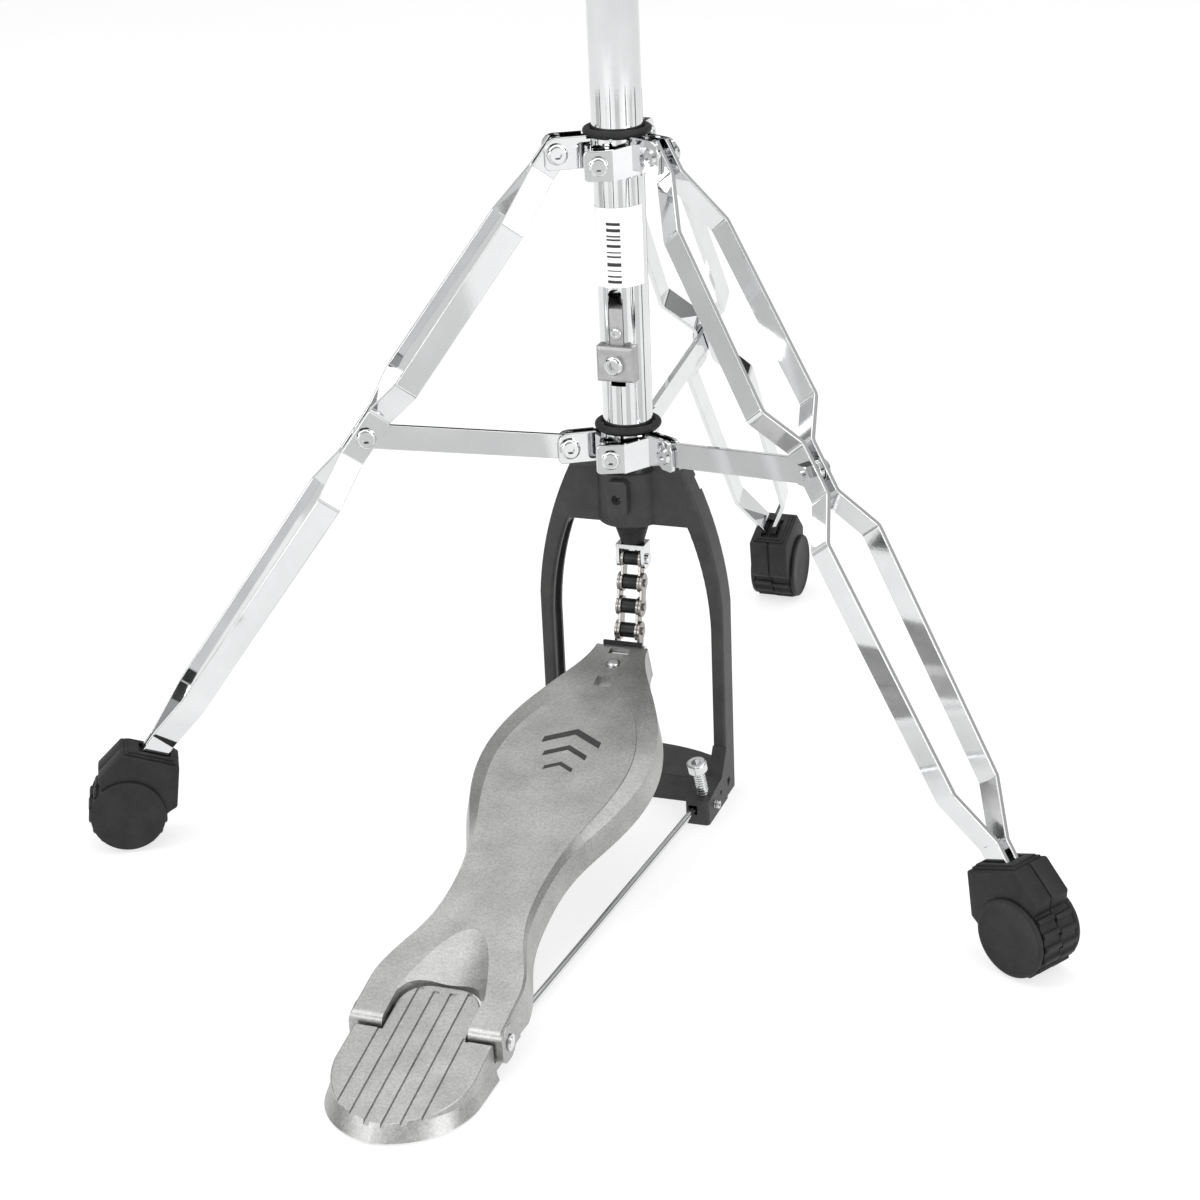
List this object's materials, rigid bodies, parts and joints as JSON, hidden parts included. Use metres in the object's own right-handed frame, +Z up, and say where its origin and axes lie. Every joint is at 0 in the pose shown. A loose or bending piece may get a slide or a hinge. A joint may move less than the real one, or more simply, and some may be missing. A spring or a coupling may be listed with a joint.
{
  "type": "hi-hat stand",
  "caption": "Chrome double-braced folding hi-hat stand with cast footboard, roller-chain drive, black cast pedal frame, rubber feet, cymbal seat and clutch.",
  "frame": {"origin": "on the floor under the centre of the stand tube, in the underside of the base plate", "axes": "+Z up along the stand tube and pull rod, -Y towards the heel of the pedal, +X to the player's right"},
  "size_m": [0.5184, 0.6444, 0.965],
  "materials": {
    "chrome": "mirror chrome plate",
    "cast_aluminium": "bead-blasted raw casting",
    "black_casting": "matte black powder coat",
    "black_rubber": "matte moulded rubber",
    "steel_dark": "nickel-plated chain steel",
    "roller_black": "black oxide",
    "grey_casting": "satin die casting",
    "grey_plastic": "moulded nylon",
    "spring_steel": "drawn wire",
    "felt": "pressed wool felt",
    "black_nylon": "moulded black nylon"
  },
  "bodies": {
    "base": {"pedal_frame": "black_casting", "base_plate": "black_casting", "frame_screws": "chrome", "radius_rod_left": "chrome", "radius_rod_right": "chrome", "bump_stop": "black_rubber", "lower_tube": "chrome", "heel_plate": "cast_aluminium", "floor_pads": "black_rubber", "hinge_pin": "chrome", "height_clamp": "chrome"},
    "footboard": {"footboard": "cast_aluminium", "nose_pad": "black_rubber", "chain_clip": "chrome", "clip_screw": "chrome"},
    "rod": {"pull_rod": "chrome", "chain_yoke": "chrome", "yoke_pin": "chrome", "rod_collar": "black_nylon"},
    "chain": {"chain_inner_plates": "steel_dark", "chain_outer_plates": "steel_dark", "chain_rollers": "roller_black", "chain_pins": "steel_dark"},
    "adjuster": {"tension_block": "grey_casting", "spring_carrier": "grey_plastic", "tension_screws": "chrome", "return_spring": "spring_steel"},
    "lower_hub": {"lower_hub": "chrome", "lower_hub_bolts": "chrome", "o_ring_lower": "black_rubber"},
    "upper_hub": {"upper_hub": "chrome", "upper_hub_bolts": "chrome", "o_ring_upper": "black_rubber"},
    "upper": {"upper_tube": "chrome", "seat_holder": "black_nylon"},
    "seat": {"seat_plate": "black_nylon", "seat_felt": "felt"},
    "tilter": {"tilter_screw": "chrome"},
    "clutch": {"clutch_body": "chrome", "clutch_nuts": "chrome", "clutch_felts": "felt"},
    "clutch_wing": {"clutch_wing_bolt": "chrome"},
    "clamp_wing": {"clamp_wing_bolt": "chrome"},
    "spur_l": {"spur_left": "chrome"},
    "spur_r": {"spur_right": "chrome"},
    "leg_back": {"leg_back_strap_a": "chrome", "leg_back_strap_b": "chrome", "elbow_bolt_back": "chrome", "foot_back": "black_rubber"},
    "brace_back": {"strut_back": "chrome"},
    "leg_left": {"leg_left_strap_a": "chrome", "leg_left_strap_b": "chrome", "elbow_bolt_left": "chrome", "foot_left": "black_rubber"},
    "brace_left": {"strut_left": "chrome"},
    "leg_right": {"leg_right_strap_a": "chrome", "leg_right_strap_b": "chrome", "elbow_bolt_right": "chrome", "foot_right": "black_rubber"},
    "brace_right": {"strut_right": "chrome"}
  },
  "joints": [
    {"name": "pedal", "type": "hinge", "parent": "base", "child": "footboard", "pos_m": [0, -0.283, 0.0145], "axis": [-1, 0, 0], "range_deg": [0, 9], "stiffness_Nm_per_rad": 12, "springref_deg": -20.05},
    {"name": "rod_travel", "type": "slide", "parent": "base", "child": "rod", "axis": [0, 0, -1], "range_m": [0, 0.04145], "deforming": ["return_spring"]},
    {"name": "chain_swing", "type": "hinge", "parent": "rod", "child": "chain", "pos_m": [0, 0, 0.129], "axis": [1, 0, 0], "range_deg": [0, 8.7]},
    {"name": "tension", "type": "slide", "parent": "base", "child": "adjuster", "axis": [0, 0, 1], "range_m": [-0.005, 0.0073], "deforming": ["return_spring"]},
    {"name": "leg_swivel", "type": "hinge", "parent": "base", "child": "lower_hub", "pos_m": [0, 0, 0.192], "axis": [0, 0, 1], "range_deg": [-12, 12]},
    {"name": "hub_lift", "type": "slide", "parent": "lower_hub", "child": "upper_hub", "axis": [0, 0, 1], "range_m": [0, 0.1124]},
    {"name": "fold_brace_back", "type": "hinge", "parent": "lower_hub", "child": "brace_back", "pos_m": [0, 0.0311, 0.1932], "axis": [1, 0, 0], "range_deg": [0, 61.1]},
    {"name": "fold_leg_back", "type": "hinge", "parent": "upper_hub", "child": "leg_back", "pos_m": [0, 0.0311, 0.3444], "axis": [-1, 0, 0], "range_deg": [0, 25.2]},
    {"name": "fold_brace_left", "type": "hinge", "parent": "lower_hub", "child": "brace_left", "pos_m": [-0.02693, -0.01555, 0.1932], "axis": [-0.5, 0.866, 0], "range_deg": [0, 61.08]},
    {"name": "fold_leg_left", "type": "hinge", "parent": "upper_hub", "child": "leg_left", "pos_m": [-0.02693, -0.01555, 0.3444], "axis": [0.5, -0.866, 0], "range_deg": [0, 25.2]},
    {"name": "fold_brace_right", "type": "hinge", "parent": "lower_hub", "child": "brace_right", "pos_m": [0.02693, -0.01555, 0.1932], "axis": [-0.5, -0.866, 0], "range_deg": [0, 61.1]},
    {"name": "fold_leg_right", "type": "hinge", "parent": "upper_hub", "child": "leg_right", "pos_m": [0.02693, -0.01555, 0.3444], "axis": [0.5, 0.866, 0], "range_deg": [0, 25.2]},
    {"name": "height", "type": "slide", "parent": "base", "child": "upper", "axis": [0, 0, 1], "range_m": [-0.08, 0]},
    {"name": "clamp_wing_turn", "type": "hinge", "parent": "base", "child": "clamp_wing", "pos_m": [0.0245, 0, 0.509], "axis": [0, 1, 0], "continuous": true},
    {"name": "seat_tilt", "type": "hinge", "parent": "upper", "child": "seat", "pos_m": [0.009, 0, 0.771], "axis": [0, 1, 0], "range_deg": [0, 6]},
    {"name": "tilter_lift", "type": "slide", "parent": "upper", "child": "tilter", "axis": [0, 0, 1], "range_m": [0, 0.00275]},
    {"name": "clutch_slide", "type": "slide", "parent": "rod", "child": "clutch", "axis": [0, 0, 1], "range_m": [-0.005, 0.06]},
    {"name": "clutch_wing_turn", "type": "hinge", "parent": "clutch", "child": "clutch_wing", "pos_m": [0.012, 0, 0.892], "axis": [1, 0, 0], "continuous": true},
    {"name": "spur_turn_right", "type": "hinge", "parent": "base", "child": "spur_r", "pos_m": [0.0472, -0.0293, -0.0006], "axis": [-0.0968, -0.2323, 0.9678], "continuous": true},
    {"name": "spur_turn_left", "type": "hinge", "parent": "base", "child": "spur_l", "pos_m": [-0.0472, -0.0293, -0.0006], "axis": [0.0968, -0.2323, 0.9678], "continuous": true}
  ],
  "couplings": [
    {"joint": "rod_travel", "follows": "pedal", "m_per_rad": 0.26359},
    {"joint": "chain_swing", "follows": "pedal", "ratio": 0.95863},
    {"joint": "hub_lift", "follows": "fold_brace_left", "m_per_rad": 0.10534},
    {"joint": "fold_brace_back", "follows": "fold_brace_left", "ratio": 1},
    {"joint": "fold_leg_back", "follows": "fold_brace_left", "ratio": 0.41126},
    {"joint": "fold_leg_left", "follows": "fold_brace_left", "ratio": 0.41126},
    {"joint": "fold_brace_right", "follows": "fold_brace_left", "ratio": 1},
    {"joint": "fold_leg_right", "follows": "fold_brace_left", "ratio": 0.41126},
    {"joint": "tilter_lift", "follows": "seat_tilt", "m_per_rad": 0.026}
  ]
}
